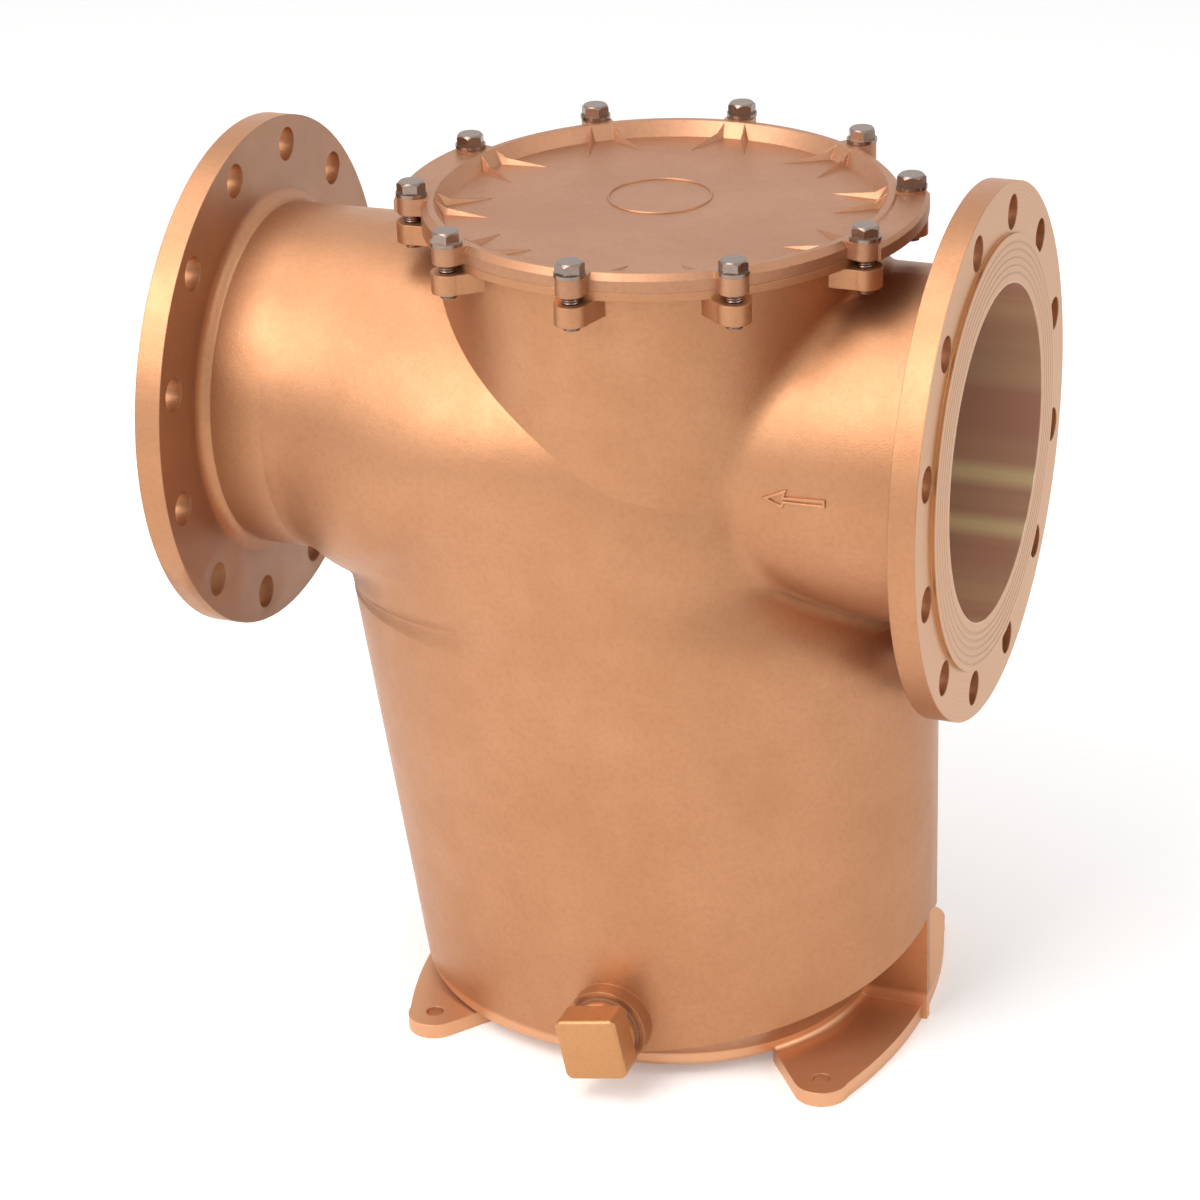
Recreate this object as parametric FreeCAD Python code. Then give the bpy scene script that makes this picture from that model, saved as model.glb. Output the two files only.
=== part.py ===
"""Flanged sea water strainer with a lift-out basket, cast in bronze.

Water enters the right-hand flange, falls into the basket through the seat,
passes out through the slots into the oval chamber and climbs the shoulder on
the left to the outlet flange. The cover is held by a ring of lug bolts.

Frame: millimetres, +Z up, +X towards the inlet flange. The origin is the
centre of the four foot holes on the face that the feet stand on.
"""
import FreeCAD
import Part
import math
import os

from FreeCAD import Matrix, Vector

# Pipe connections
bore_radius = 124.0
pipe_wall = 8.0
pipe_axis_height = 485.5
inlet_face = 255.0
outlet_face = 345.0
flange_radius = 197.5
flange_thickness = 20.0
flange_fillet = 12.0
flange_hole_edge = 22.5
flange_hole_radius = 13.0
flange_hole_count = 12
raised_face_height = 3.0
raised_face_margin = 2.0
inlet_blend = 9.0

# Central chamber, a tall drafted cylinder
chamber_foot_radius = 151.8
chamber_draft = 1.13
chamber_bottom = 10.0
chamber_edge_radius = 5.0
casting_wall = 8.0
blend_sink = 0.5

# Oval chamber and the shoulder that rises from it to the outlet
oval_right = 207.0
oval_proud = 5.0
oval_left_base = 203.0
oval_left_lean = 0.155
oval_edge_right = 97.0
oval_edge_left = 42.0
oval_edge_front = 20.0
oval_edge_proud = 1.0
elbow_height = 335.5
elbow_heel_radius = 18.0
elbow_fullness = 6.0
elbow_waist_margin = 6.2
elbow_spread_angle = 55.0
elbow_steps = 9

# Basket seat inside the body
seat_height = 350.0
seat_thickness = 12.0
seat_opening_radius = 130.0

# Lid ring at the top of the body
cover_seam = 648.5
ring_radius = 175.0
ring_thickness = 6.5
ring_fillet = 6.0
gasket_inner_radius = 161.0
gasket_width = 7.0
gasket_thickness = 2.5

# Cover bolts and the lugs that take them
bolt_count = 10
bolt_pitch_radius = 182.2
bolt_radius = 6.0
bolt_start_angle = 18.0
bolt_head_flats = 18.5
bolt_head_height = 8.0
bolt_tail = 4.5
thread_clearance = 0.1
washer_radius = 11.5
washer_thickness = 2.5
washer_hole_clearance = 0.5
cover_hole_clearance = 0.75
body_lug_radius = 12.2
body_lug_height = 15.0
body_lug_root = 19.0
cover_lug_radius = 10.8
cover_lug_height = 13.5

# Cover
cover_rim_height = 12.9
cover_rim_bevel = 4.5
cover_rim_land = 165.5
cover_dish_radius = 158.5
cover_dish_height = 2.0
cover_plate_thickness = 12.0
cover_spigot_clearance = 1.0
nose_radius = 195.5
nose_height = 11.5
nose_round = 3.0
cover_rib_tip_radius = 125.0
cover_rib_spread = 21.0
cover_rib_width = 8.0

# Base
foot_x = 159.0
foot_y = 129.0
foot_hole_radius = 7.0
foot_tip_radius = 21.0
foot_thickness = 12.0
foot_fillet = 6.0
foot_bulge = 201.0
foot_inner_edge = 110.0
foot_edge_slope = 53.4
fin_thickness = 7.0

# Drain plug and its boss
drain_height = 48.5
drain_boss_radius = 32.0
drain_boss_face = 168.0
drain_shank_radius = 16.6
drain_shank_length = 22.0
drain_running_clearance = 0.08
drain_seal_radius = 27.0
drain_seal_thickness = 3.0
drain_collar_radius = 26.0
drain_collar_thickness = 5.0
drain_head_size = 50.0
drain_head_depth = 25.0
drain_head_corner = 6.0
drain_head_round = 3.0
drain_head_turn = 11.0

# Basket
basket_radius = 127.0
basket_sheet = 2.0
basket_bottom = 40.0
basket_rim_radius = 146.0
basket_rim_thickness = 6.0
basket_seal_thickness = 3.0
basket_hoop_radius = 3.0
basket_slot_columns = 18
basket_slot_rows = 3
basket_slot_width = 12.0
basket_slot_margin = 16.0
basket_floor_holes = 8
basket_floor_hole_radius = 12.0
basket_floor_pitch = 75.0
handle_rod_radius = 6.0
handle_half_span = 120.0
handle_clearance = 12.0

pipe_radius = bore_radius + pipe_wall
elbow_waist = chamber_foot_radius + elbow_waist_margin
flange_pitch_radius = flange_radius - flange_hole_edge
raised_face_radius = flange_pitch_radius - flange_hole_radius - raised_face_margin
up = Vector(0, 0, 1)
along_x = Vector(1, 0, 0)
along_y = Vector(0, 1, 0)


def chamber_radius(height):
    """Outside radius of the central chamber at one height."""
    return chamber_foot_radius + height * math.tan(math.radians(chamber_draft))


def oval_left(height):
    """How far the leaning left wall stands from the axis at one height."""
    return oval_left_base + oval_left_lean * height


def oval_depth(height):
    """Half of the oval chamber's depth, front to back, at one height."""
    return chamber_radius(height) + oval_proud


def spin(profile_points, origin=Vector(0, 0, 0), axis=up):
    """Revolve a closed outline of straight lines."""
    outline = Part.makePolygon(profile_points + [profile_points[0]])
    return Part.Face(outline).revolve(origin, axis, 360)


def around(shape, count, start_angle):
    """Copies of a shape spaced evenly round the vertical axis."""
    copies = []
    for index in range(count):
        copy = shape.copy()
        copy.rotate(Vector(0, 0, 0), up, start_angle + index * 360.0 / count)
        copies.append(copy)
    return copies


def quarter_ellipse(centre, start, finish):
    """Quarter of an ellipse about a centre, between two points on its axes."""
    arc = Part.makeCircle(1, Vector(0, 0, 0), up, 0, 90)
    across = start - centre
    along = finish - centre
    normal = across.cross(along)
    squash = Matrix(across.x, along.x, normal.x, centre.x,
                    across.y, along.y, normal.y, centre.y,
                    across.z, along.z, normal.z, centre.z)
    return arc.transformGeometry(squash).Edges[0]


def egg_outline(heel, centre, toe, half_width, drop=0.0):
    """Rear half of a smooth egg: one quarter ellipse to each of toe and heel.

    The drop tilts its plane, so that the outline falls from the middle line.
    """
    side = centre + along_y * half_width - up * drop
    return Part.Wire([quarter_ellipse(centre, toe, side),
                      quarter_ellipse(centre, side, heel),
                      Part.makeLine(heel, toe)])


def rounded_reach(angle, level_reach, upright_reach):
    """Distance from the elbow's pivot to a trace that turns a full corner."""
    level = abs(math.cos(angle) / level_reach) ** elbow_fullness
    upright = abs(math.sin(angle) / upright_reach) ** elbow_fullness
    return (level + upright) ** (-1.0 / elbow_fullness)


def elbow_pivot():
    """The point inside the bend, below the outlet pipe and left of the wall."""
    return Vector(-oval_left(elbow_height) - elbow_heel_radius, 0,
                  pipe_axis_height - pipe_radius - elbow_heel_radius)


def elbow_outline(angle, inset):
    """Section of the shoulder on a plane swung about the pivot."""
    pivot = elbow_pivot()
    direction = Vector(math.sin(angle), 0, math.cos(angle))
    centre_reach = rounded_reach(angle, pipe_radius + elbow_heel_radius, -pivot.x)
    toe_reach = rounded_reach(angle, 2 * pipe_radius + elbow_heel_radius,
                              elbow_waist - pivot.x)
    centre = pivot + direction * centre_reach
    part_way = min(1.0, math.degrees(angle) / elbow_spread_angle)
    spread = part_way * part_way * (3 - 2 * part_way)
    half_width = pipe_radius + (oval_depth(centre.z) - pipe_radius) * spread
    heel = pivot + direction * (elbow_heel_radius + inset)
    toe = pivot + direction * (toe_reach - inset)
    return egg_outline(heel, centre, toe, half_width - inset)


def oval_outline(right_height, left_height, front_height, proud, inset):
    """Section of the oval chamber between its heights right, left and front."""
    heel = Vector(inset - oval_left(left_height), 0, left_height)
    toe = Vector(oval_right - inset, 0, right_height)
    centre = heel + (toe - heel) * (-heel.x / (toe.x - heel.x))
    half_width = chamber_radius(front_height) + proud - inset
    return egg_outline(heel, centre, toe, half_width, centre.z - front_height)


def oval_form(inset, mouth):
    """The oval chamber, its shoulder and the outlet pipe as far as the mouth.

    The inset is zero for the outside and the casting's wall for the hollow.
    """
    sections = []
    for step in range(elbow_steps):
        sections.append(elbow_outline(math.radians(90.0 * step / elbow_steps), inset))
    level = elbow_pivot().z
    sections.append(oval_outline(level, level, level, oval_proud, inset))
    shoulder = Part.makeLoft(sections, True, False)
    pipe_end = sections[0].copy()
    pipe_end.translate(along_x * (-mouth - elbow_pivot().x))
    pipe = Part.makeLoft([pipe_end, sections[0]], True, True)
    edge = oval_outline(oval_edge_right + inset, oval_edge_left + inset,
                        oval_edge_front + inset, oval_edge_proud, inset)
    barrel = Part.makeLoft([sections[-1], edge], True, True)
    foot_height = chamber_bottom + chamber_edge_radius + inset
    foot = chamber_radius(foot_height) - inset - chamber_edge_radius
    foot_outline = egg_outline(Vector(-foot, 0, foot_height), Vector(0, 0, foot_height),
                               Vector(foot, 0, foot_height), foot)
    undercut = Part.makeLoft([edge, foot_outline], True, True)
    rear = shoulder.fuse([pipe, barrel, undercut])
    return rear.fuse(rear.mirror(Vector(0, 0, 0), along_y))


def chamber_form(bottom, top, inset):
    """The central chamber's drafted cylinder between two heights."""
    return Part.makeCone(chamber_radius(bottom) - inset, chamber_radius(top) - inset,
                         top - bottom, Vector(0, 0, bottom), up)


def flange(face_distance, side, stub_radius, stub_end):
    """Flange with its raised face, blended to a stub; side is +1 or -1."""
    face = face_distance * side
    front = (face_distance - raised_face_height) * side
    back = (face_distance - raised_face_height - flange_thickness) * side
    blend = (abs(back) - flange_fillet) * side

    def at(x, radius):
        return Vector(x, 0, pipe_axis_height + radius)

    corner = flange_fillet * (1 - math.sqrt(0.5))
    foot = stub_radius + flange_fillet
    edges = [
        Part.makeLine(at(stub_end, 0), at(stub_end, stub_radius)),
        Part.makeLine(at(stub_end, stub_radius), at(blend, stub_radius)),
        Part.Arc(at(blend, stub_radius),
                 at(back - side * corner, stub_radius + corner),
                 at(back, foot)).toShape(),
        Part.makeLine(at(back, foot), at(back, flange_radius)),
        Part.makeLine(at(back, flange_radius), at(front, flange_radius)),
        Part.makeLine(at(front, flange_radius), at(front, raised_face_radius)),
        Part.makeLine(at(front, raised_face_radius), at(face, raised_face_radius)),
        Part.makeLine(at(face, raised_face_radius), at(face, 0)),
        Part.makeLine(at(face, 0), at(stub_end, 0)),
    ]
    axis_point = Vector(0, 0, pipe_axis_height)
    return Part.Face(Part.Wire(edges)).revolve(axis_point, along_x, 360)


def flange_holes(face_distance, side):
    """Bolt holes through one flange, two of them straddling the top."""
    depth = raised_face_height + flange_thickness + flange_fillet
    start = (face_distance - depth) if side > 0 else -face_distance
    holes = []
    for index in range(flange_hole_count):
        turn = math.radians((index + 0.5) * 360.0 / flange_hole_count)
        centre = Vector(start, flange_pitch_radius * math.sin(turn),
                        pipe_axis_height + flange_pitch_radius * math.cos(turn))
        holes.append(Part.makeCylinder(flange_hole_radius, depth, centre, along_x))
    return holes


def body_lug():
    """One bolt lug under the lid ring, wider where it meets the neck."""
    top = cover_seam - ring_thickness
    bottom = top - body_lug_height
    root = chamber_radius(bottom) - casting_wall / 2
    boss = Part.makeCylinder(body_lug_radius, body_lug_height,
                             Vector(bolt_pitch_radius, 0, bottom), up)
    web = Part.makePolygon([
        Vector(root, -body_lug_root, bottom),
        Vector(bolt_pitch_radius, -body_lug_radius, bottom),
        Vector(bolt_pitch_radius, body_lug_radius, bottom),
        Vector(root, body_lug_root, bottom),
        Vector(root, -body_lug_root, bottom),
    ])
    return boss.fuse(Part.Face(web).extrude(up * body_lug_height))


def lid_ring():
    """Ring that carries the cover, rounded into the neck below it."""
    under = cover_seam - ring_thickness
    low = under - ring_fillet
    neck = chamber_radius(low) - blend_sink
    corner = ring_fillet * math.sqrt(0.5)
    inside = neck - casting_wall / 2
    edges = [
        Part.makeLine(Vector(inside, 0, low), Vector(neck, 0, low)),
        Part.Arc(Vector(neck, 0, low),
                 Vector(neck + ring_fillet - corner, 0, low + corner),
                 Vector(neck + ring_fillet, 0, under)).toShape(),
        Part.makeLine(Vector(neck + ring_fillet, 0, under), Vector(ring_radius, 0, under)),
        Part.makeLine(Vector(ring_radius, 0, under), Vector(ring_radius, 0, cover_seam)),
        Part.makeLine(Vector(ring_radius, 0, cover_seam), Vector(inside, 0, cover_seam)),
        Part.makeLine(Vector(inside, 0, cover_seam), Vector(inside, 0, low)),
    ]
    return Part.Face(Part.Wire(edges)).revolve(Vector(0, 0, 0), up, 360)


def foot_pair(thickness):
    """The two feet and the bowed web between them on the inlet side."""
    slope = math.radians(foot_edge_slope)
    side = Vector(-math.sin(slope), math.cos(slope), 0) * foot_tip_radius
    rear_tip = Vector(foot_x, foot_y, 0)
    rear_side = rear_tip + side
    run = (rear_side.x - foot_inner_edge) / math.cos(slope)
    rear_root = rear_side - Vector(math.cos(slope), math.sin(slope), 0) * run

    def front(point):
        return Vector(point.x, -point.y, 0)

    outer = rear_tip + along_x * foot_tip_radius
    edges = [
        Part.Arc(front(outer), Vector(foot_bulge, 0, 0), outer).toShape(),
        Part.makeLine(outer, rear_side),
        Part.makeLine(rear_side, rear_root),
        Part.makeLine(rear_root, front(rear_root)),
        Part.makeLine(front(rear_root), front(rear_side)),
        Part.makeLine(front(rear_side), front(outer)),
    ]
    plate = Part.Face(Part.Wire(edges)).extrude(up * thickness)
    for tip in (rear_tip, front(rear_tip)):
        plate = plate.fuse(Part.makeCylinder(foot_tip_radius, thickness, tip, up))
    return plate


def foot_blend():
    """Hollow fillet between the wall of the chamber and the tops of the feet."""
    low = foot_thickness - blend_sink
    high = foot_thickness + foot_fillet
    wall = chamber_radius(high) - blend_sink
    toe = wall + foot_fillet
    corner = foot_fillet * (1 - math.sqrt(0.5))
    inside = wall - casting_wall / 2
    edges = [
        Part.makeLine(Vector(inside, 0, low), Vector(toe, 0, low)),
        Part.makeLine(Vector(toe, 0, low), Vector(toe, 0, foot_thickness)),
        Part.Arc(Vector(toe, 0, foot_thickness),
                 Vector(wall + corner, 0, foot_thickness + corner),
                 Vector(wall, 0, high)).toShape(),
        Part.makeLine(Vector(wall, 0, high), Vector(inside, 0, high)),
        Part.makeLine(Vector(inside, 0, high), Vector(inside, 0, low)),
    ]
    ring = Part.Face(Part.Wire(edges)).revolve(Vector(0, 0, 0), up, 360)
    return ring.common(foot_pair(high + blend_sink))


def fin(reach, top):
    """Thin upright fin under the overhang of the oval chamber."""
    inner = chamber_foot_radius - casting_wall / 2
    plate = Part.makeBox(reach - inner, fin_thickness, top, Vector(inner, -fin_thickness / 2, 0))
    return plate


def blended_neck():
    """The central chamber and the inlet pipe, with a fillet where they meet."""
    neck = chamber_form(chamber_bottom, cover_seam - ring_thickness, 0)
    low_rim = [edge for edge in neck.Edges
               if abs(edge.BoundBox.ZMax - chamber_bottom) < 0.01]
    neck = neck.makeFillet(chamber_edge_radius, low_rim)
    inlet = flange(inlet_face, 1, pipe_radius, chamber_radius(pipe_axis_height) / 2)
    neck = neck.fuse(inlet)
    meeting = [edge for edge in neck.Edges
               if edge.BoundBox.XMin > 0 and edge.BoundBox.XMax < ring_radius
               and edge.BoundBox.YLength > pipe_radius / 2]
    return neck.makeFillet(inlet_blend, meeting)


def make_body():
    """The one-piece casting."""
    top = cover_seam - ring_thickness
    outlet_back = outlet_face - raised_face_height - flange_thickness
    feet = foot_pair(foot_thickness).fuse(foot_blend())
    other_feet = feet.mirror(Vector(0, 0, 0), along_x)
    left_fin = fin(oval_left(oval_edge_left) - 3, oval_edge_left)
    left_fin.rotate(Vector(0, 0, 0), up, 180)
    boss = Part.makeCylinder(drain_boss_radius, drain_boss_face - chamber_foot_radius * 0.8,
                             Vector(0, -drain_boss_face, drain_height), along_y)
    additions = [
        oval_form(0, outlet_back),
        flange(outlet_face, -1, pipe_radius - blend_sink, flange_fillet / 2 - outlet_back),
        lid_ring(),
        feet,
        other_feet,
        fin(oval_right - 2, oval_edge_right),
        left_fin,
        boss,
    ]
    additions += around(body_lug(), bolt_count, bolt_start_angle)
    outside = blended_neck().fuse(additions)
    body = outside.cut(body_hollows())
    holes = flange_holes(inlet_face, 1) + flange_holes(outlet_face, -1)
    bolt_hole = Part.makeCylinder(bolt_radius + thread_clearance, body_lug_height + 2,
                                  Vector(bolt_pitch_radius, 0, top - body_lug_height - 1), up)
    holes += around(bolt_hole, bolt_count, bolt_start_angle)
    for x in (-foot_x, foot_x):
        for y in (-foot_y, foot_y):
            holes.append(Part.makeCylinder(foot_hole_radius, foot_thickness + 20,
                                           Vector(x, y, -1), up))
    drain_depth = drain_boss_face - chamber_foot_radius + 3 * casting_wall
    holes.append(Part.makeCylinder(drain_shank_radius + drain_running_clearance, drain_depth,
                                   Vector(0, -drain_boss_face, drain_height), along_y))
    return body.cut(holes).removeSplitter()


def body_hollows():
    """Everything that is hollow in the casting, as one list of cutters."""
    under_seat = seat_height - seat_thickness
    big = 2 * outlet_face
    oval = oval_form(casting_wall, outlet_face + 1)
    lower_half = Part.makeBox(big, big, under_seat, Vector(-big / 2, -big / 2, 0))
    left_half = Part.makeBox(big, big, big, Vector(-big, -big / 2, under_seat))
    right_half = Part.makeBox(big, big, big, Vector(0, -big / 2, seat_height))
    neck_wall = chamber_form(under_seat, cover_seam, 0)
    lower_chamber = oval.common(lower_half)
    outlet_passage = oval.common(left_half).cut(neck_wall)
    inlet_pocket = oval.common(right_half)
    sump = chamber_form(chamber_bottom + casting_wall, under_seat, casting_wall)
    neck_hollow = chamber_form(seat_height, cover_seam + 1, casting_wall)
    seat_hole = Part.makeCylinder(seat_opening_radius, seat_thickness + 2,
                                  Vector(0, 0, under_seat - 1), up)
    axis_point = Vector(0, 0, pipe_axis_height)
    inlet_bore = Part.makeCylinder(bore_radius, inlet_face, axis_point, along_x)
    gasket_seat = gasket_ring(0.0)
    return [lower_chamber, outlet_passage, inlet_pocket, sump, neck_hollow, seat_hole,
            inlet_bore, gasket_seat]


def gasket_ring(clearance):
    """Flat ring lying in its recess under the cover."""
    low = cover_seam - gasket_thickness
    inner = gasket_inner_radius + clearance
    outer = gasket_inner_radius + gasket_width - clearance
    return spin([Vector(inner, 0, low), Vector(outer, 0, low),
                 Vector(outer, 0, cover_seam), Vector(inner, 0, cover_seam)])


def cover_rib(side):
    """One of the two ribs that spread from a lug; side is +1 or -1."""
    plate = cover_seam + cover_dish_height
    top = cover_seam + cover_rim_height
    slope = (cover_rim_land - cover_dish_radius) / 2
    stations = [
        (cover_rib_tip_radius, cover_rib_spread, plate + 0.4, 0.15),
        (cover_dish_radius - slope, cover_rib_spread * 0.52, plate + 4.5, 0.8),
        (cover_rim_land, cover_rib_spread * 0.38, top, 1.0),
        (bolt_pitch_radius - cover_lug_radius / 2, cover_rib_spread * 0.2, top, 1.0),
    ]
    outlines = []
    for radius, sideways, crest, width_share in stations:
        half = cover_rib_width * width_share / 2
        low = plate - 1
        outlines.append(Part.makePolygon([
            Vector(radius, side * sideways - half, low),
            Vector(radius, side * sideways + half, low),
            Vector(radius, side * sideways, crest),
            Vector(radius, side * sideways - half, low),
        ]))
    return Part.makeLoft(outlines, True, True)


def cover_nose():
    """Outward bulge of the cover between two lugs, over a pipe flange."""
    low = cover_seam
    high = cover_seam + nose_height
    face = Part.Face(Part.makePolygon([
        Vector(cover_rim_land, 0, low),
        Vector(nose_radius, 0, low),
        Vector(nose_radius, 0, high - nose_round),
        Vector(nose_radius - nose_round, 0, high),
        Vector(cover_rim_land, 0, high),
        Vector(cover_rim_land, 0, low),
    ]))
    face.rotate(Vector(0, 0, 0), up, -180.0 / bolt_count)
    return face.revolve(Vector(0, 0, 0), up, 360.0 / bolt_count)


def make_cover():
    """Dished cover with its rim, lugs, ribs, two noses and a locating spigot."""
    dish = cover_seam + cover_dish_height
    rim = cover_seam + cover_rim_height
    spigot = chamber_radius(cover_seam - cover_plate_thickness) - casting_wall
    spigot -= cover_spigot_clearance
    under = dish - cover_plate_thickness
    plate = spin([
        Vector(0, 0, under),
        Vector(spigot, 0, under),
        Vector(spigot, 0, cover_seam),
        Vector(ring_radius, 0, cover_seam),
        Vector(ring_radius, 0, rim - cover_rim_bevel),
        Vector(ring_radius - cover_rim_bevel, 0, rim),
        Vector(cover_rim_land, 0, rim),
        Vector(cover_dish_radius, 0, dish),
        Vector(0, 0, dish),
    ])
    lug = Part.makeCylinder(cover_lug_radius, cover_lug_height,
                            Vector(bolt_pitch_radius, 0, cover_seam), up)
    lug = lug.fuse(Part.makeBox(bolt_pitch_radius - cover_rim_land, 2 * cover_lug_radius,
                                cover_rim_height,
                                Vector(cover_rim_land, -cover_lug_radius, cover_seam)))
    lug = lug.fuse([cover_rib(1), cover_rib(-1)])
    nose = cover_nose()
    other_nose = nose.copy()
    other_nose.rotate(Vector(0, 0, 0), up, 180)
    cover = plate.fuse(around(lug, bolt_count, bolt_start_angle) + [nose, other_nose])
    hole = Part.makeCylinder(bolt_radius + cover_hole_clearance, cover_lug_height + 2,
                             Vector(bolt_pitch_radius, 0, cover_seam - 1), up)
    return cover.cut(around(hole, bolt_count, bolt_start_angle)).removeSplitter()


def make_washers():
    """Flat washers on top of the cover lugs."""
    low = Vector(bolt_pitch_radius, 0, cover_seam + cover_lug_height)
    disc = Part.makeCylinder(washer_radius, washer_thickness, low, up)
    hole = Part.makeCylinder(bolt_radius + washer_hole_clearance, washer_thickness, low, up)
    return Part.makeCompound(around(disc.cut(hole), bolt_count, bolt_start_angle))


def make_bolts():
    """Hexagon head screws; the head's underside sits on the washer."""
    under_head = cover_seam + cover_lug_height + washer_thickness
    tail = cover_seam - ring_thickness - body_lug_height - bolt_tail
    corner_radius = bolt_head_flats / math.sqrt(3)
    corners = []
    for index in range(7):
        turn = math.radians(60 * index)
        corners.append(Vector(bolt_pitch_radius + corner_radius * math.cos(turn),
                              corner_radius * math.sin(turn), under_head))
    head = Part.Face(Part.makePolygon(corners)).extrude(up * bolt_head_height)
    cone = Part.makeCone(corner_radius + bolt_head_height, bolt_head_flats * 0.46,
                         corner_radius + bolt_head_height - bolt_head_flats * 0.46,
                         Vector(bolt_pitch_radius, 0, under_head
                                + bolt_head_height - corner_radius - bolt_head_height
                                + bolt_head_flats * 0.46), up)
    head = head.common(cone)
    shank = Part.makeCylinder(bolt_radius, under_head - tail,
                              Vector(bolt_pitch_radius, 0, tail), up)
    return Part.makeCompound(around(head.fuse(shank), bolt_count, bolt_start_angle))


def make_drain_seal():
    """Flat seal between the boss and the plug's collar."""
    face = Vector(0, -drain_boss_face, drain_height)
    disc = Part.makeCylinder(drain_seal_radius, drain_seal_thickness, face, -along_y)
    hole = Part.makeCylinder(drain_shank_radius + drain_running_clearance,
                             drain_seal_thickness, face, -along_y)
    return disc.cut(hole)


def make_drain_plug():
    """Screw plug with a round collar and a large square head."""
    seat = Vector(0, -drain_boss_face - drain_seal_thickness, drain_height)
    collar = Part.makeCylinder(drain_collar_radius, drain_collar_thickness, seat, -along_y)
    shank = Part.makeCylinder(drain_shank_radius, drain_shank_length, seat, along_y)
    half = drain_head_size / 2
    block = Part.makeBox(drain_head_size, drain_head_depth, drain_head_size,
                         Vector(-half, seat.y - drain_collar_thickness - drain_head_depth,
                                drain_height - half))
    corners = [edge for edge in block.Edges
               if edge.BoundBox.YLength > drain_head_depth / 2]
    block = block.makeFillet(drain_head_corner, corners)
    front = [edge for edge in block.Edges
             if edge.BoundBox.YMax < block.BoundBox.YMin + drain_head_round]
    block = block.makeFillet(drain_head_round, front)
    block.rotate(seat, along_y, -drain_head_turn)
    return collar.fuse([shank, block])


def basket_rim_bottom():
    """Height of the basket rim's underside, on its seal."""
    return seat_height + basket_seal_thickness


def make_basket_seal():
    """Flat ring between the cast seat and the basket's rim."""
    low = Vector(0, 0, seat_height)
    disc = Part.makeCylinder(basket_rim_radius, basket_seal_thickness, low, up)
    return disc.cut(Part.makeCylinder(seat_opening_radius, basket_seal_thickness, low, up))


def make_basket_rim():
    """Stout flat ring by which the basket hangs in its seat."""
    low = Vector(0, 0, basket_rim_bottom())
    disc = Part.makeCylinder(basket_rim_radius, basket_rim_thickness, low, up)
    return disc.cut(Part.makeCylinder(basket_radius, basket_rim_thickness, low, up))


def make_basket_shell():
    """Rolled sheet with rows of upright slots."""
    top = basket_rim_bottom() + basket_rim_thickness
    height = top - basket_bottom
    shell = Part.makeCylinder(basket_radius, height, Vector(0, 0, basket_bottom), up)
    shell = shell.cut(Part.makeCylinder(basket_radius - basket_sheet, height,
                                        Vector(0, 0, basket_bottom), up))
    slotted = seat_height - seat_thickness - basket_bottom - 2 * basket_slot_margin
    pitch = slotted / basket_slot_rows
    slots = []
    for row in range(basket_slot_rows):
        low = basket_bottom + basket_slot_margin + (row + 0.1) * pitch
        slot = Part.makeBox(4 * basket_sheet, basket_slot_width, 0.8 * pitch,
                            Vector(basket_radius - 2 * basket_sheet,
                                   -basket_slot_width / 2, low))
        slots += around(slot, basket_slot_columns, 180.0 * row / basket_slot_columns)
    return shell.cut(slots)


def make_basket_floor():
    """Perforated disc closing the basket's bottom."""
    low = Vector(0, 0, basket_bottom)
    disc = Part.makeCylinder(basket_radius - basket_sheet, basket_sheet, low, up)
    hole = Part.makeCylinder(basket_floor_hole_radius, basket_sheet,
                             low + along_x * basket_floor_pitch, up)
    return disc.cut(around(hole, basket_floor_holes, 0))


def make_basket_hoop():
    """Round wire hoop that stiffens the bottom edge."""
    ring = Part.makeTorus(basket_radius - basket_sheet - basket_hoop_radius, basket_hoop_radius,
                          Vector(0, 0, basket_bottom + basket_sheet + basket_hoop_radius), up)
    return ring


def make_basket_handle():
    """Tall rod handle, a lintel on two uprights welded to the rim."""
    low = basket_rim_bottom() + basket_rim_thickness
    cover_under = cover_seam + cover_dish_height - cover_plate_thickness
    high = cover_under - handle_clearance
    reach = (basket_rim_radius + basket_radius) / 2
    bend = handle_half_span / 2
    path = Part.Wire([
        Part.makeLine(Vector(0, -reach, low), Vector(0, -reach, high - bend)),
        Part.Arc(Vector(0, -reach, high - bend),
                 Vector(0, -reach + bend * (1 - math.sqrt(0.5)),
                        high - bend * (1 - math.sqrt(0.5))),
                 Vector(0, -reach + bend, high)).toShape(),
        Part.makeLine(Vector(0, -reach + bend, high), Vector(0, reach - bend, high)),
        Part.Arc(Vector(0, reach - bend, high),
                 Vector(0, reach - bend * (1 - math.sqrt(0.5)),
                        high - bend * (1 - math.sqrt(0.5))),
                 Vector(0, reach, high - bend)).toShape(),
        Part.makeLine(Vector(0, reach, high - bend), Vector(0, reach, low)),
    ])
    section = Part.Wire(Part.makeCircle(handle_rod_radius, Vector(0, -reach, low), up))
    return path.makePipeShell([section], True, True)


pieces = {
    "body": make_body,
    "cover": make_cover,
    "cover_gasket": lambda: gasket_ring(0.3),
    "cover_bolts": make_bolts,
    "cover_washers": make_washers,
    "drain_plug": make_drain_plug,
    "drain_seal": make_drain_seal,
    "basket_seal": make_basket_seal,
    "basket_rim": make_basket_rim,
    "basket_shell": make_basket_shell,
    "basket_floor": make_basket_floor,
    "basket_hoop": make_basket_hoop,
    "basket_handle": make_basket_handle,
}

os.makedirs("parts", exist_ok=True)
for name, make in pieces.items():
    shape = make()
    shape.exportStep("parts/" + name + ".step")
    print(name, len(shape.Solids), "solids, valid", shape.isValid(), round(shape.Volume))
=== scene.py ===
import bpy
import math
from mathutils import Matrix, Vector


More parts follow.
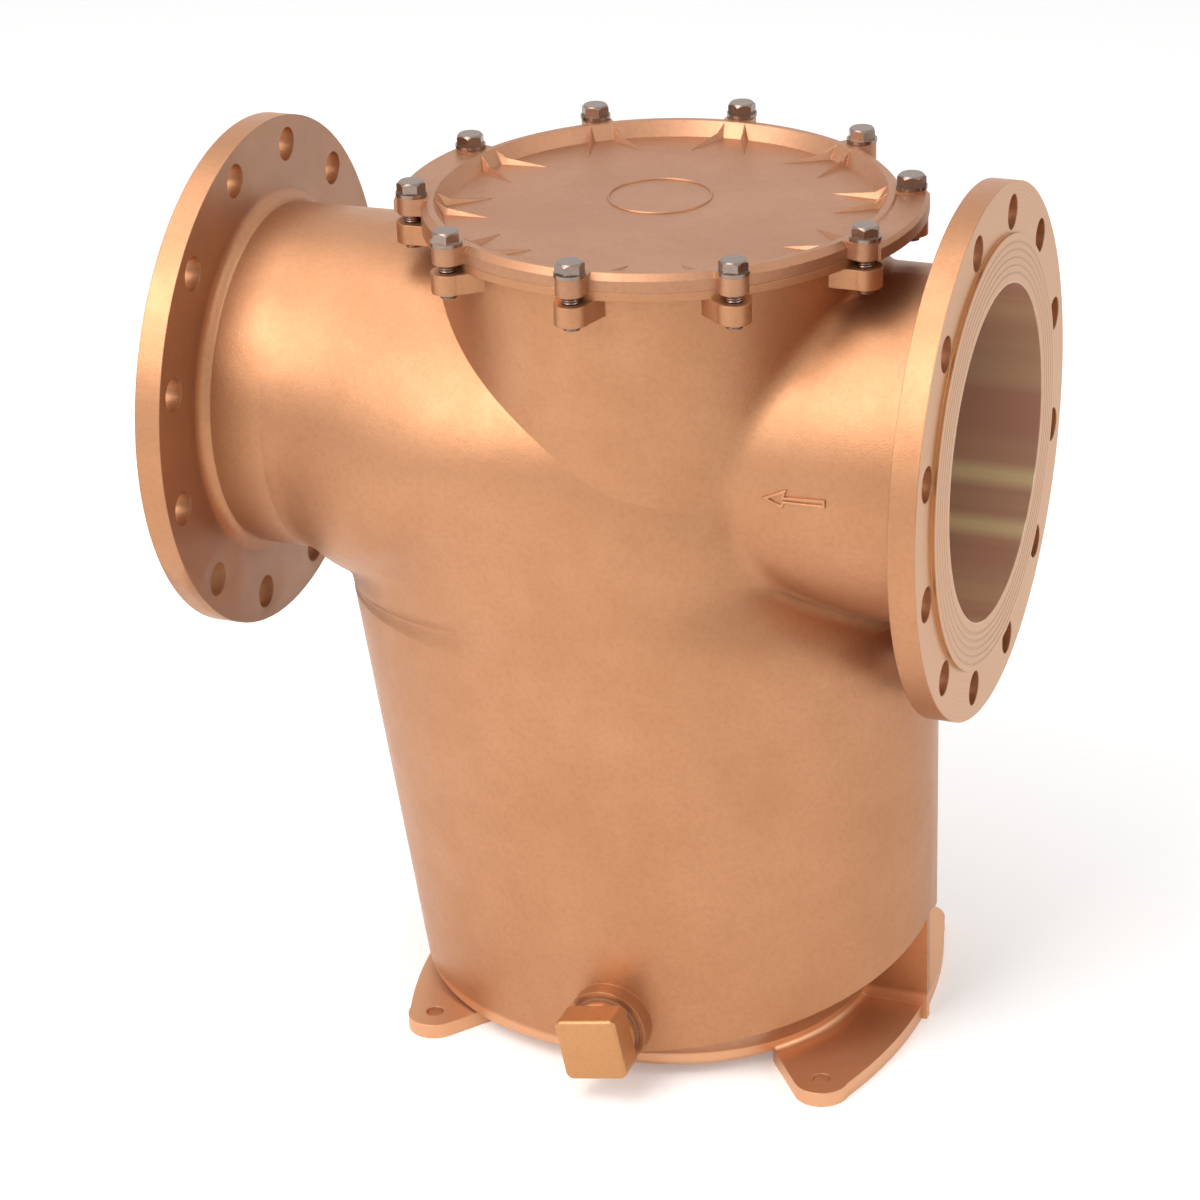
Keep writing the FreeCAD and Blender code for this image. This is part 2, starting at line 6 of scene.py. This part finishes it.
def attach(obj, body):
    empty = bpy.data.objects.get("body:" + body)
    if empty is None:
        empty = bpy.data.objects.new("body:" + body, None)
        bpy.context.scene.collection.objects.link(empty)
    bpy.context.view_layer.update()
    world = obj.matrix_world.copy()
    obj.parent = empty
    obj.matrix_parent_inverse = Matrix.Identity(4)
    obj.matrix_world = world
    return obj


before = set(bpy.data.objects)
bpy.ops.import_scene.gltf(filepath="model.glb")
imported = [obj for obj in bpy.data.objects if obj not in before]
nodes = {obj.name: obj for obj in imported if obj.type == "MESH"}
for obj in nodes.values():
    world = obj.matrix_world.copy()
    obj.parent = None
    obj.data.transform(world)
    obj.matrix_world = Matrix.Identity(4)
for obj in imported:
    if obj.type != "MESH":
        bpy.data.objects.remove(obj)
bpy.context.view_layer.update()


def newMaterial(name):
    material = bpy.data.materials.new(name)
    material.use_nodes = True
    tree = material.node_tree
    shader = tree.nodes["Principled BSDF"]
    place = tree.nodes.new("ShaderNodeTexCoord")
    return material, tree, shader, place


def noiseField(tree, place, scale, detail, roughness):
    noise = tree.nodes.new("ShaderNodeTexNoise")
    noise.inputs["Scale"].default_value = scale
    noise.inputs["Detail"].default_value = detail
    noise.inputs["Roughness"].default_value = roughness
    tree.links.new(place.outputs["Object"], noise.inputs["Vector"])
    return noise.outputs["Fac"]


def lineField(tree, along, scale, detail):  # noise that changes along one number only
    noise = tree.nodes.new("ShaderNodeTexNoise")
    noise.noise_dimensions = "1D"
    noise.inputs["Scale"].default_value = scale
    noise.inputs["Detail"].default_value = detail
    tree.links.new(along, noise.inputs["W"])
    return noise.outputs["Fac"]


def plug(tree, value, socket):  # a number is set, an output is linked
    if isinstance(value, (int, float)):
        socket.default_value = value
    elif isinstance(value, tuple):
        socket.default_value = (*value, 1)
    else:
        tree.links.new(value, socket)


def calc(tree, operation, first, second=0.0):
    node = tree.nodes.new("ShaderNodeMath")
    node.operation = operation
    plug(tree, first, node.inputs[0])
    plug(tree, second, node.inputs[1])
    return node.outputs["Value"]


def within(tree, value, span):  # 1 between the two ends of the span, otherwise 0
    low, high = span
    return calc(tree, "MULTIPLY", calc(tree, "GREATER_THAN", value, low),
                calc(tree, "LESS_THAN", value, high))


def distanceTo(tree, value, middle):
    return calc(tree, "ABSOLUTE", calc(tree, "SUBTRACT", value, middle))


def darker(tone, share):
    return tuple(part * share for part in tone)


def mapRange(tree, value, fromMin, fromMax, toMin, toMax):
    node = tree.nodes.new("ShaderNodeMapRange")
    node.inputs["From Min"].default_value = fromMin
    node.inputs["From Max"].default_value = fromMax
    node.inputs["To Min"].default_value = toMin
    node.inputs["To Max"].default_value = toMax
    tree.links.new(value, node.inputs["Value"])
    return node.outputs["Result"]


def mixColors(tree, factor, colorA, colorB):
    mix = tree.nodes.new("ShaderNodeMix")
    mix.data_type = "RGBA"
    plug(tree, factor, mix.inputs["Factor"])
    plug(tree, colorA, mix.inputs["A"])
    plug(tree, colorB, mix.inputs["B"])
    return mix.outputs["Result"]


def mixNumbers(tree, factor, numberA, numberB):
    mix = tree.nodes.new("ShaderNodeMix")
    plug(tree, factor, mix.inputs["Factor"])
    plug(tree, numberA, mix.inputs["A"])
    plug(tree, numberB, mix.inputs["B"])
    return mix.outputs["Result"]


def softEdges(tree, radius):  # rounds the look of hard edges, as sand casting does
    bevel = tree.nodes.new("ShaderNodeBevel")
    bevel.samples = 3
    plug(tree, radius, bevel.inputs["Radius"])
    return bevel.outputs["Normal"]


def addBump(tree, shader, height, strength, distance):
    bump = tree.nodes.new("ShaderNodeBump")
    bump.inputs["Strength"].default_value = strength
    bump.inputs["Distance"].default_value = distance
    tree.links.new(height, bump.inputs["Height"])
    tree.links.new(bump.outputs["Normal"], shader.inputs["Normal"])
    return bump


bronzeLook = {
    "tone": (0.50, 0.245, 0.124),
    "toneWarm": (0.455, 0.215, 0.103),
    "metallic": 0.8,
    "roughLow": 0.37,
    "roughHigh": 0.44,
    "grainScale": 750,  # sand grain, about a millimetre
    "grainDepth": 0.0004,
    "patchScale": 9,
    "smearScale": 36,
    "speckScale": 260,
    "speckDepth": 0.22,
    "speckShade": 0.72,
    "softEdge": 0.001,
}


def castTone(tree, place, look):
    patches = mapRange(tree, noiseField(tree, place, look["patchScale"], 4, 0.6), 0.35, 0.65, 0, 1)
    tone = mixColors(tree, patches, look["tone"], look["toneWarm"])
    speck = mapRange(tree, noiseField(tree, place, look["speckScale"], 2, 0.5), 0.42, 0.7,
                     0, look["speckDepth"])
    return mixColors(tree, speck, tone, darker(look["toneWarm"], look["speckShade"]))


def castRoughness(tree, place, look):
    smear = noiseField(tree, place, look["smearScale"], 5, 0.6)
    return mapRange(tree, smear, 0.3, 0.7, look["roughLow"], look["roughHigh"])


def castBronze(name, look):
    material, tree, shader, place = newMaterial(name)
    tree.links.new(castTone(tree, place, look), shader.inputs["Base Color"])
    tree.links.new(castRoughness(tree, place, look), shader.inputs["Roughness"])
    shader.inputs["Metallic"].default_value = look["metallic"]
    grain = noiseField(tree, place, look["grainScale"], 3, 0.6)
    bump = addBump(tree, shader, grain, 0.4, look["grainDepth"])
    tree.links.new(softEdges(tree, look["softEdge"]), bump.inputs["Normal"])
    return material


bodyLook = dict(bronzeLook, **{
    "pipeHeight": 0.4855,
    "bore": (0.1234, 0.1246),  # just under and just over the bore's radius
    "inletFace": 0.2518,
    "outletFace": -0.3418,
    "faceTone": (0.60, 0.31, 0.145),
    "faceRough": 0.3,
    "latheScale": 900,
    "grooved": (0.1275, 0.1555),
    "groovePitch": 0.0056,
    # painted shade: how far the groove bottoms are darkened
    "groovePaintedShade": 0.45,
    "grooveDepth": 9,  # in grain depths
    "inletBack": (0.2316, 0.2324),
    "outletBack": (-0.3224, -0.3216),
    # painted shade: the darker tone put on the flange back faces and in the bottoms of the face
    # grooves
    "paintedShadeTone": (0.36, 0.185, 0.105),
    "backShadeScale": 14,
    "boreDark": (0.66, 0.36, 0.25),
    # painted reflection: the gold that the bands and streaks in the bore are mixed towards
    "boreReflectionGold": (1.0, 0.82, 0.46),
    "boreRough": 0.3,
    "boreMetal": 0.45,
    "reflectionTurns": (-0.55, -0.88),  # painted reflection: two bright bands along the far side of the bore
    "reflectionSpread": (0.02, 0.1),
    "reflectionStreakScale": 2.5,
    # painted light: a lighter tone on the tops of the feet, where the body's shade falls
    "footTop": (0.020, 0.024),
    "footPaintedLight": (0.70, 0.38, 0.21),
    "softEdge": 0.0012,
    "bendEdge": 0.04,  # the turn between the shoulder and the upright wall
    "bendHeight": 0.3355,
    "bendReach": (0.02, 0.06),
    "bendFade": (-0.12, -0.05),
    "neckEdge": 0.015,  # where the inlet pipe runs into the wall
    "neckSpan": (0.05, 0.195),
    "neckReach": 0.125,
})


# painted reflection: bright bands and random streaks on the bore's base tone stand in for the light
# that the turned bore reflects
def boreToneAndReflection(tree, turn, look):
    first, second = (distanceTo(tree, turn, reflectionTurn) for reflectionTurn in look["reflectionTurns"])
    near, far = look["reflectionSpread"]
    reflectionBand = mapRange(tree, calc(tree, "MINIMUM", first, second), near, far, 1, 0)
    # painted reflection streaks, placed at random around the bore
    reflectionStreaks = mapRange(tree, lineField(tree, turn, look["reflectionStreakScale"], 3), 0.4, 0.7, 0, 0.4)
    paintedReflection = calc(tree, "MAXIMUM", reflectionBand, reflectionStreaks)
    return mixColors(tree, paintedReflection, look["boreDark"], look["boreReflectionGold"])


def edgeRadius(tree, across, height, level, look):  # wider where the casting runs together
    near, far = look["bendReach"]
    left, right = look["bendFade"]
    offBend = distanceTo(tree, level, look["bendHeight"])
    nearBend = calc(tree, "MULTIPLY", mapRange(tree, offBend, near, far, 1, 0),
                    mapRange(tree, across, left, right, 1, 0))
    nearNeck = calc(tree, "MULTIPLY", within(tree, across, look["neckSpan"]),
                    calc(tree, "LESS_THAN", calc(tree, "ABSOLUTE", height), look["neckReach"]))
    edge = mixNumbers(tree, nearBend, look["softEdge"], look["bendEdge"])
    return mixNumbers(tree, nearNeck, edge, look["neckEdge"])


def bodyBronze(look):
    material, tree, shader, place = newMaterial("bodyBronze")
    split = tree.nodes.new("ShaderNodeSeparateXYZ")
    tree.links.new(place.outputs["Object"], split.inputs["Vector"])
    across = split.outputs["X"]
    sideways = split.outputs["Y"]
    level = split.outputs["Z"]
    height = calc(tree, "SUBTRACT", level, look["pipeHeight"])
    radius = calc(tree, "SQRT", calc(tree, "ADD", calc(tree, "POWER", sideways, 2),
                                     calc(tree, "POWER", height, 2)))
    turn = calc(tree, "ARCTAN2", height, sideways)

    onFace = calc(tree, "MAXIMUM", calc(tree, "GREATER_THAN", across, look["inletFace"]),
                  calc(tree, "LESS_THAN", across, look["outletFace"]))
    onBack = calc(tree, "MAXIMUM", within(tree, across, look["inletBack"]),
                  within(tree, across, look["outletBack"]))
    inBore = within(tree, radius, look["bore"])
    # painted light: mask for the lighter tone on the tops of the feet
    footLow, footHigh = look["footTop"]
    footLightMask = mapRange(tree, level, footLow, footHigh, 1, 0)

    lathe = lineField(tree, radius, look["latheScale"], 3)  # turned rings on the flange faces
    wave = calc(tree, "SINE", calc(tree, "MULTIPLY",
                                   calc(tree, "SUBTRACT", radius, look["grooved"][0]),
                                   2 * math.pi / look["groovePitch"]))
    ridges = within(tree, radius, look["grooved"])
    # painted shade: the bottoms of the face grooves are darkened
    groovePaintedShade = calc(tree, "MULTIPLY", mapRange(tree, wave, -1, 0.1, look["groovePaintedShade"], 0),
                       ridges)
    grooves = calc(tree, "MULTIPLY", mapRange(tree, wave, -1, 0.1, -look["grooveDepth"], 0),
                   ridges)

    faceTone = mixColors(tree, lathe, look["faceTone"], darker(look["faceTone"], 0.86))
    faceTone = mixColors(tree, groovePaintedShade, faceTone, look["paintedShadeTone"])
    # painted shade: the flange back faces are darkened, more in some patches than others
    backShadePatches = mapRange(tree, noiseField(tree, place, look["backShadeScale"], 4, 0.6), 0.35, 0.65,
                     0.45, 1)
    tone = mixColors(tree, onFace, castTone(tree, place, look), faceTone)
    tone = mixColors(tree, calc(tree, "MULTIPLY", onBack, backShadePatches), tone, look["paintedShadeTone"])
    tone = mixColors(tree, inBore, tone, boreToneAndReflection(tree, turn, look))
    # painted light: the foot tops are lightened
    tone = mixColors(tree, footLightMask, tone, look["footPaintedLight"])
    tree.links.new(tone, shader.inputs["Base Color"])

    faceRough = mapRange(tree, lathe, 0.3, 0.7, look["faceRough"], look["faceRough"] + 0.08)
    rough = mixNumbers(tree, onFace, castRoughness(tree, place, look), faceRough)
    rough = mixNumbers(tree, inBore, rough, look["boreRough"])
    tree.links.new(rough, shader.inputs["Roughness"])
    metal = mixNumbers(tree, inBore, look["metallic"], look["boreMetal"])
    tree.links.new(metal, shader.inputs["Metallic"])

    grain = noiseField(tree, place, look["grainScale"], 3, 0.6)
    faceHeight = calc(tree, "ADD", grooves, calc(tree, "MULTIPLY", lathe, 0.15))
    relief = mixNumbers(tree, onFace, grain, faceHeight)
    relief = mixNumbers(tree, inBore, relief, calc(tree, "MULTIPLY", lathe, 0.1))
    bump = addBump(tree, shader, relief, 0.4, look["grainDepth"])
    edge = edgeRadius(tree, across, height, level, look)
    tree.links.new(softEdges(tree, edge), bump.inputs["Normal"])
    return material


bodyFinish = bodyBronze(bodyLook)
# painted highlight: the arrow, cast with the body, uses a lighter copy of the bronze
arrowLitFinish = castBronze("arrowLitBronze", dict(bronzeLook, tone=(0.60, 0.30, 0.155)))
coverLook = dict(bronzeLook, tone=(0.47, 0.24, 0.135), toneWarm=(0.42, 0.205, 0.112))
coverFinish = castBronze("coverBronze", coverLook)
plugLook = dict(bronzeLook, tone=(0.57, 0.29, 0.13), toneWarm=(0.52, 0.255, 0.108))
plugFinish = castBronze("plugBronze", plugLook)
print("bronze done")

boltLook = {
    "tone": (0.31, 0.235, 0.195),
    "roughness": 0.24,
    "threadPitch": 0.00175,
    "threadTop": 0.6612,  # under the washers
    "threadDepth": 0.0005,
}


def boltSteel(look):
    material, tree, shader, place = newMaterial("boltSteel")
    split = tree.nodes.new("ShaderNodeSeparateXYZ")
    tree.links.new(place.outputs["Object"], split.inputs["Vector"])
    grain = noiseField(tree, place, 500, 2, 0.5)
    tree.links.new(mixColors(tree, grain, look["tone"], darker(look["tone"], 0.8)),
                   shader.inputs["Base Color"])
    shader.inputs["Metallic"].default_value = 1
    tree.links.new(mapRange(tree, grain, 0.3, 0.7, look["roughness"] * 0.8, look["roughness"] * 1.2),
                   shader.inputs["Roughness"])
    thread = calc(tree, "SINE", calc(tree, "MULTIPLY", split.outputs["Z"],
                                     2 * math.pi / look["threadPitch"]))
    thread = calc(tree, "MULTIPLY", thread,
                  calc(tree, "LESS_THAN", split.outputs["Z"], look["threadTop"]))
    addBump(tree, shader, thread, 0.6, look["threadDepth"])
    return material


def plainFinish(name, tone, metallic, roughness, grainScale):
    material, tree, shader, place = newMaterial(name)
    grain = noiseField(tree, place, grainScale, 2, 0.5)
    tree.links.new(mixColors(tree, grain, tone, darker(tone, 0.85)), shader.inputs["Base Color"])
    shader.inputs["Metallic"].default_value = metallic
    tree.links.new(mapRange(tree, grain, 0.3, 0.7, roughness * 0.85, roughness * 1.15),
                   shader.inputs["Roughness"])
    addBump(tree, shader, grain, 0.2, 0.0002)
    return material


boltFinish = boltSteel(boltLook)
basketSteel = plainFinish("basketSteel", (0.55, 0.56, 0.57), 1, 0.35, 300)
sealRubber = plainFinish("sealRubber", (0.03, 0.03, 0.03), 0, 0.7, 900)
sealFibre = plainFinish("sealFibre", (0.30, 0.14, 0.075), 0, 0.7, 900)

finishes = {
    "body": bodyFinish,
    "cover": coverFinish,
    "cover_bolts": boltFinish,
    "cover_washers": boltFinish,
    "cover_gasket": sealRubber,
    "drain_plug": plugFinish,
    "drain_seal": sealFibre,
    "basket_seal": sealRubber,
    "basket_rim": basketSteel,
    "basket_shell": basketSteel,
    "basket_floor": basketSteel,
    "basket_hoop": basketSteel,
    "basket_handle": basketSteel,
}
for nodeName, material in finishes.items():
    for materialSlot in nodes[nodeName].material_slots:
        materialSlot.material = material
print("finishes done")


def settle(piece, name, body, finish):  # place goes into the mesh, finish and body go on
    bpy.ops.object.transform_apply(location=True, rotation=True, scale=True)
    piece.name = name
    piece.data.materials.clear()
    piece.data.materials.append(finish)
    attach(piece, body)


flowArrow = {
    "front": -0.1335,  # the lines stand about 1.5 mm off the pipe
    "sunk": 0.0035,
    "line": 0.0021,
    "softness": 0.0005,
    "corners": [(0.1195, 0.4893), (0.1385, 0.4975), (0.1365, 0.4918), (0.1670, 0.4930),
                (0.1670, 0.4868), (0.1365, 0.4866), (0.1350, 0.4823)],
}


def makeFlowArrow(look):  # raised outline on the inlet pipe that points the way the water goes
    bpy.ops.object.select_all(action="DESELECT")
    bpy.ops.mesh.primitive_circle_add(vertices=len(look["corners"]), radius=0.02,
                                      fill_type="NGON")
    arrow = bpy.context.object
    for vertex, (across, height) in zip(arrow.data.vertices, look["corners"]):
        vertex.co = (across, look["front"], height)
    bpy.ops.object.mode_set(mode="EDIT")
    bpy.ops.mesh.select_all(action="SELECT")
    bpy.ops.mesh.inset(thickness=look["line"], depth=0)
    bpy.ops.mesh.delete(type="FACE")  # the inner face is the one left selected
    bpy.ops.mesh.select_all(action="SELECT")
    bpy.ops.mesh.extrude_region_move(
        TRANSFORM_OT_translate={"value": (0, look["sunk"], 0)})
    bpy.ops.mesh.select_all(action="SELECT")
    bpy.ops.mesh.normals_make_consistent(inside=False)
    bpy.ops.object.mode_set(mode="OBJECT")
    bevel = arrow.modifiers.new("soft", "BEVEL")
    bevel.width = look["softness"]
    bevel.segments = 2
    bpy.ops.object.modifier_apply(modifier=bevel.name)
    settle(arrow, "flowArrow", "casing", arrowLitFinish)
    bpy.ops.object.shade_smooth_by_angle(angle=math.radians(40))
    return arrow


makeFlowArrow(flowArrow)

coverRing = {
    "centre": (-0.008, 0.020, 0.6505),
    "radius": 0.038,
    "line": 0.0011,
    "stretch": 1.2,  # a little taller than wide
}


def makeCoverRing(look):  # plain raised circle cast on the cover
    bpy.ops.object.select_all(action="DESELECT")
    bpy.ops.mesh.primitive_torus_add(location=look["centre"], major_radius=look["radius"],
                                     minor_radius=look["line"], major_segments=96,
                                     minor_segments=12)
    ring = bpy.context.object
    bpy.ops.object.mode_set(mode="EDIT")
    bpy.ops.mesh.select_all(action="SELECT")
    bpy.ops.transform.resize(value=(1, 1, look["stretch"]))
    bpy.ops.object.mode_set(mode="OBJECT")
    settle(ring, "coverRing", "casing", coverFinish)
    bpy.ops.object.shade_smooth()
    return ring


makeCoverRing(coverRing)
print("arrow and ring done")

studio = {
    "floorSize": 30,
    "floorTone": 0.93,
    "floorLift": 0.2,
    "skyForShade": 0.6,
    "skyForMetal": 1.0,
}

bpy.ops.object.select_all(action="DESELECT")
bpy.ops.mesh.primitive_plane_add(size=studio["floorSize"], location=(0, 0, 0))
floor = bpy.context.object
floor.name = "floor"
floorMaterial, floorTree, floorShader, floorPlace = newMaterial("floorPaper")
floorTone = studio["floorTone"]
floorTree.links.new(mixColors(floorTree, noiseField(floorTree, floorPlace, 3, 2, 0.5),
                              (floorTone,) * 3, (floorTone * 0.99,) * 3),
                    floorShader.inputs["Base Color"])
floorShader.inputs["Roughness"].default_value = 0.9


def seenDirectly(tree):  # 1 for the camera, for shiny metal and through glass, otherwise 0
    path = tree.nodes.new("ShaderNodeLightPath")
    either = calc(tree, "MAXIMUM", path.outputs["Is Camera Ray"], path.outputs["Is Glossy Ray"])
    return calc(tree, "MAXIMUM", either, path.outputs["Is Transmission Ray"])


floorShader.inputs["Emission Color"].default_value = (1, 1, 1, 1)
floorTree.links.new(mapRange(floorTree, seenDirectly(floorTree), 0, 1, 0, studio["floorLift"]),
                    floorShader.inputs["Emission Strength"])
floor.data.materials.append(floorMaterial)


lamps = {
    "keyLight": {"location": (-1.35, -2.4, 2.4), "aim": (0, 0, 0.4), "size": (1.9, 2.1),
                 "power": 58, "color": (1, 0.98, 0.95)},
    "highLight": {"location": (-0.7, -1.5, 3.2), "aim": (0, 0, 0.4), "size": (1.8, 1.5),
                  "power": 26, "color": (1, 0.99, 0.97)},
    "topLight": {"location": (-0.9, 0.1, 3.4), "aim": (0, 0, 0.3), "size": (1.7, 1.7),
                 "power": 26, "color": (1, 1, 1)},
    "sideLight": {"location": (2.8, -0.4, 1.9), "aim": (0, 0, 0.4), "size": (1.2, 1.8),
                  "power": 16, "color": (1, 1, 1)},
}


def softBox(name, look):
    bpy.ops.object.light_add(type="AREA", location=look["location"])
    lamp = bpy.context.object
    lamp.name = name
    lamp.data.shape = "RECTANGLE"
    lamp.data.size, lamp.data.size_y = look["size"]
    lamp.data.energy = look["power"]
    lamp.data.color = look["color"]
    direction = Vector(look["aim"]) - Vector(look["location"])
    lamp.rotation_euler = direction.to_track_quat("-Z", "Y").to_euler()


for lampName, lampLook in lamps.items():
    softBox(lampName, lampLook)

world = bpy.data.worlds.new("studioWorld")
bpy.context.scene.world = world
world.use_nodes = True
worldTree = world.node_tree
background = worldTree.nodes["Background"]
background.inputs["Color"].default_value = (1, 1, 1, 1)
worldTree.links.new(mapRange(worldTree, seenDirectly(worldTree), 0, 1, studio["skyForShade"],
                             studio["skyForMetal"]), background.inputs["Strength"])
print("studio done")

cameraView = {
    "azimuth": 21.745,
    "elevation": 25.217,
    "roll": -2.047,
    "distance": 2.968192,
    "target": (-0.058867, 0, 0.324581),
    "lens": 115.64,
    "sensor": 36,
}
azimuth = math.radians(cameraView["azimuth"])
elevation = math.radians(cameraView["elevation"])
roll = math.radians(cameraView["roll"])
backward = Vector((math.sin(azimuth) * math.cos(elevation),
                   -math.cos(azimuth) * math.cos(elevation), math.sin(elevation)))
levelRight = Vector((math.cos(azimuth), math.sin(azimuth), 0))
levelUp = backward.cross(levelRight)
right = levelRight * math.cos(roll) + levelUp * math.sin(roll)
upward = levelUp * math.cos(roll) - levelRight * math.sin(roll)
bpy.ops.object.camera_add()
camera = bpy.context.object
camera.name = "viewCamera"
camera.data.lens = cameraView["lens"]
camera.data.sensor_width = cameraView["sensor"]
axes = Matrix((right, upward, backward)).transposed().to_4x4()
spot = Vector(cameraView["target"]) + backward * cameraView["distance"]
camera.matrix_world = Matrix.Translation(spot) @ axes
bpy.context.scene.camera = camera
bpy.context.scene.view_settings.view_transform = "Standard"
print("camera done")
